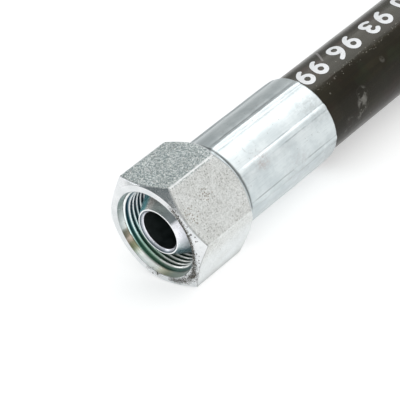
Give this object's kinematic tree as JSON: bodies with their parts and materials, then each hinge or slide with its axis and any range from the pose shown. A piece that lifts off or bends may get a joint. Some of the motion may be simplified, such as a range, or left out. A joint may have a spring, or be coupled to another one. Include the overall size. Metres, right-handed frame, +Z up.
{
  "type": "hydraulic hose assembly",
  "caption": "Rubber hydraulic hose with a crimped steel ferrule, a sealing-cone nipple and a free-turning hexagonal swivel nut on each end.",
  "frame": {"origin": "on the floor, below the middle of the two fittings' box, which is also below the middle of the hose", "axes": "+Z up from the floor the hose lies on; +X from the near fitting to the far one, along both fittings' axes; +Y across"},
  "size_m": [0.5, 0.077, 0.032],
  "materials": {
    "zinc_nut": "zinc plated, fine grain with dark specks",
    "zinc_nipple": "zinc plated, turned smooth",
    "zinc_ferrule": "bright satin zinc plating, crimped",
    "hose_rubber": "smooth matte cover with white print"
  },
  "bodies": {
    "hose_assembly": {"hose": "hose_rubber", "near_nipple": "zinc_nipple", "near_ferrule": "zinc_ferrule", "far_nipple": "zinc_nipple", "far_ferrule": "zinc_ferrule"},
    "near_swivel": {"near_nut": "zinc_nut"},
    "far_swivel": {"far_nut": "zinc_nut"}
  },
  "joints": [
    {"name": "near_nut_spin", "type": "hinge", "parent": "hose_assembly", "child": "near_swivel", "pos_m": [-0.25, -0.02, 0.016], "axis": [1, 0, 0], "continuous": true},
    {"name": "far_nut_spin", "type": "hinge", "parent": "hose_assembly", "child": "far_swivel", "pos_m": [0.25, 0.02, 0.016], "axis": [1, 0, 0], "continuous": true}
  ]
}
